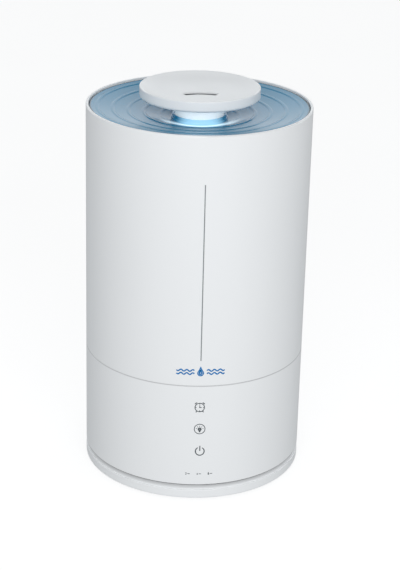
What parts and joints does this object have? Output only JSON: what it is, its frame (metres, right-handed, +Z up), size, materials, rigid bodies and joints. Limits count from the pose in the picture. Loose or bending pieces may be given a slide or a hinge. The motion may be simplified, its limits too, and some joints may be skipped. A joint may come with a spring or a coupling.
{
  "type": "cool mist humidifier",
  "caption": "Cylindrical tabletop ultrasonic humidifier with a touch-control base, lift-off water tank, dished blue lid and a swivelling round mist outlet.",
  "frame": {"origin": "centre of the outer cylinder, on the plane of the undersides of the rubber feet", "axes": "+Z up along the cylinder; the touch controls face -Y; the cord entry is at +Y; +X is to the right of someone facing the controls"},
  "size_m": [0.198, 0.198, 0.3533],
  "materials": {
    "white_plastic": "smooth satin-gloss white moulding",
    "natural_plastic": "inner moulding, off-white",
    "blue_lid": "clear pale blue, polished",
    "blue_glow": "clear saturated blue, lit from below",
    "black_plastic": "black moulding",
    "foot_rubber": "soft matt rubber",
    "silicone": "translucent silicone",
    "black_seal": "black rubber seal",
    "circuit_board": "green solder mask",
    "transformer_tape": "yellow tape",
    "capacitor_sleeve": "dark blue sleeve",
    "terminal_green": "green moulding",
    "copper": "enamelled copper wire",
    "spring_gold": "gold-plated spring wire",
    "zinc_steel": "bright zinc",
    "aluminium": "plain",
    "ceramic": "silvered piezo ceramic",
    "magnet": "sintered ferrite",
    "lead_red": "red insulation",
    "clear_lens": "clear plug",
    "led_white": "diffused lamp body",
    "led_blue": "blue lamp body"
  },
  "bodies": {
    "base": {"rubber_feet": "foot_rubber", "bottom_cover": "white_plastic", "base_housing": "white_plastic", "housing_screws": "zinc_steel", "cord_grommet": "black_plastic", "power_board": "circuit_board", "transformer": "transformer_tape", "capacitors": "capacitor_sleeve", "terminal_block": "terminal_green", "driver_board": "circuit_board", "driver_heatsink": "aluminium", "driver_coil": "copper", "board_screws": "zinc_steel", "wiring": "lead_red", "touch_board": "circuit_board", "touch_springs": "spring_gold", "timer_leds": "led_white", "fan_frame": "black_plastic", "fan_screws": "zinc_steel", "air_duct": "natural_plastic", "duct_gasket": "silicone", "basin_seal": "silicone", "water_basin": "natural_plastic", "transducer_seal": "black_seal", "transducer_disc": "ceramic", "transducer_clamp": "aluminium", "transducer_screws": "zinc_steel", "night_light_lens": "clear_lens", "night_light_led": "led_blue", "float_sensor": "circuit_board", "float_clip": "natural_plastic"},
    "fan_wheel": {"fan_rotor": "black_plastic", "fan_shaft": "zinc_steel"},
    "float_unit": {"float": "natural_plastic", "float_magnet": "magnet"},
    "tank": {"tank_shell": "white_plastic", "tank_floor": "natural_plastic", "valve_cap": "natural_plastic", "mist_tube": "white_plastic", "mist_tube_seal": "silicone", "valve_spring": "zinc_steel"},
    "valve": {"valve_plunger": "natural_plastic", "valve_seal": "silicone"},
    "lid": {"lid": "blue_lid", "lid_gasket": "silicone", "glow_collar": "blue_glow"},
    "stem": {"nozzle_stem": "white_plastic"},
    "outlet_cap": {"nozzle_cap": "white_plastic", "cap_underside": "white_plastic"}
  },
  "joints": [
    {"name": "tank_lift", "type": "slide", "parent": "base", "child": "tank", "axis": [0, 0, 1], "range_m": [0, 0.12]},
    {"name": "valve_close", "type": "slide", "parent": "tank", "child": "valve", "axis": [0, 0, 1], "range_m": [-0.004, 0], "deforming": ["valve_spring"]},
    {"name": "float_rise", "type": "slide", "parent": "base", "child": "float_unit", "axis": [0, 0, 1], "range_m": [0, 0.009]},
    {"name": "fan_spin", "type": "hinge", "parent": "base", "child": "fan_wheel", "pos_m": [-0.05, 0, 0.022], "axis": [0, 0, 1], "continuous": true},
    {"name": "lid_lift", "type": "slide", "parent": "tank", "child": "lid", "axis": [0, 0, 1], "range_m": [0, 0.12]},
    {"name": "outlet_lift", "type": "slide", "parent": "lid", "child": "stem", "axis": [0, 0, 1], "range_m": [0, 0.06]},
    {"name": "cap_turn", "type": "hinge", "parent": "stem", "child": "outlet_cap", "pos_m": [0, 0, 0.335], "axis": [0, 0, 1], "continuous": true}
  ],
  "couplings": [
    {"joint": "valve_close", "follows": "tank_lift", "ratio": -0.0333}
  ]
}
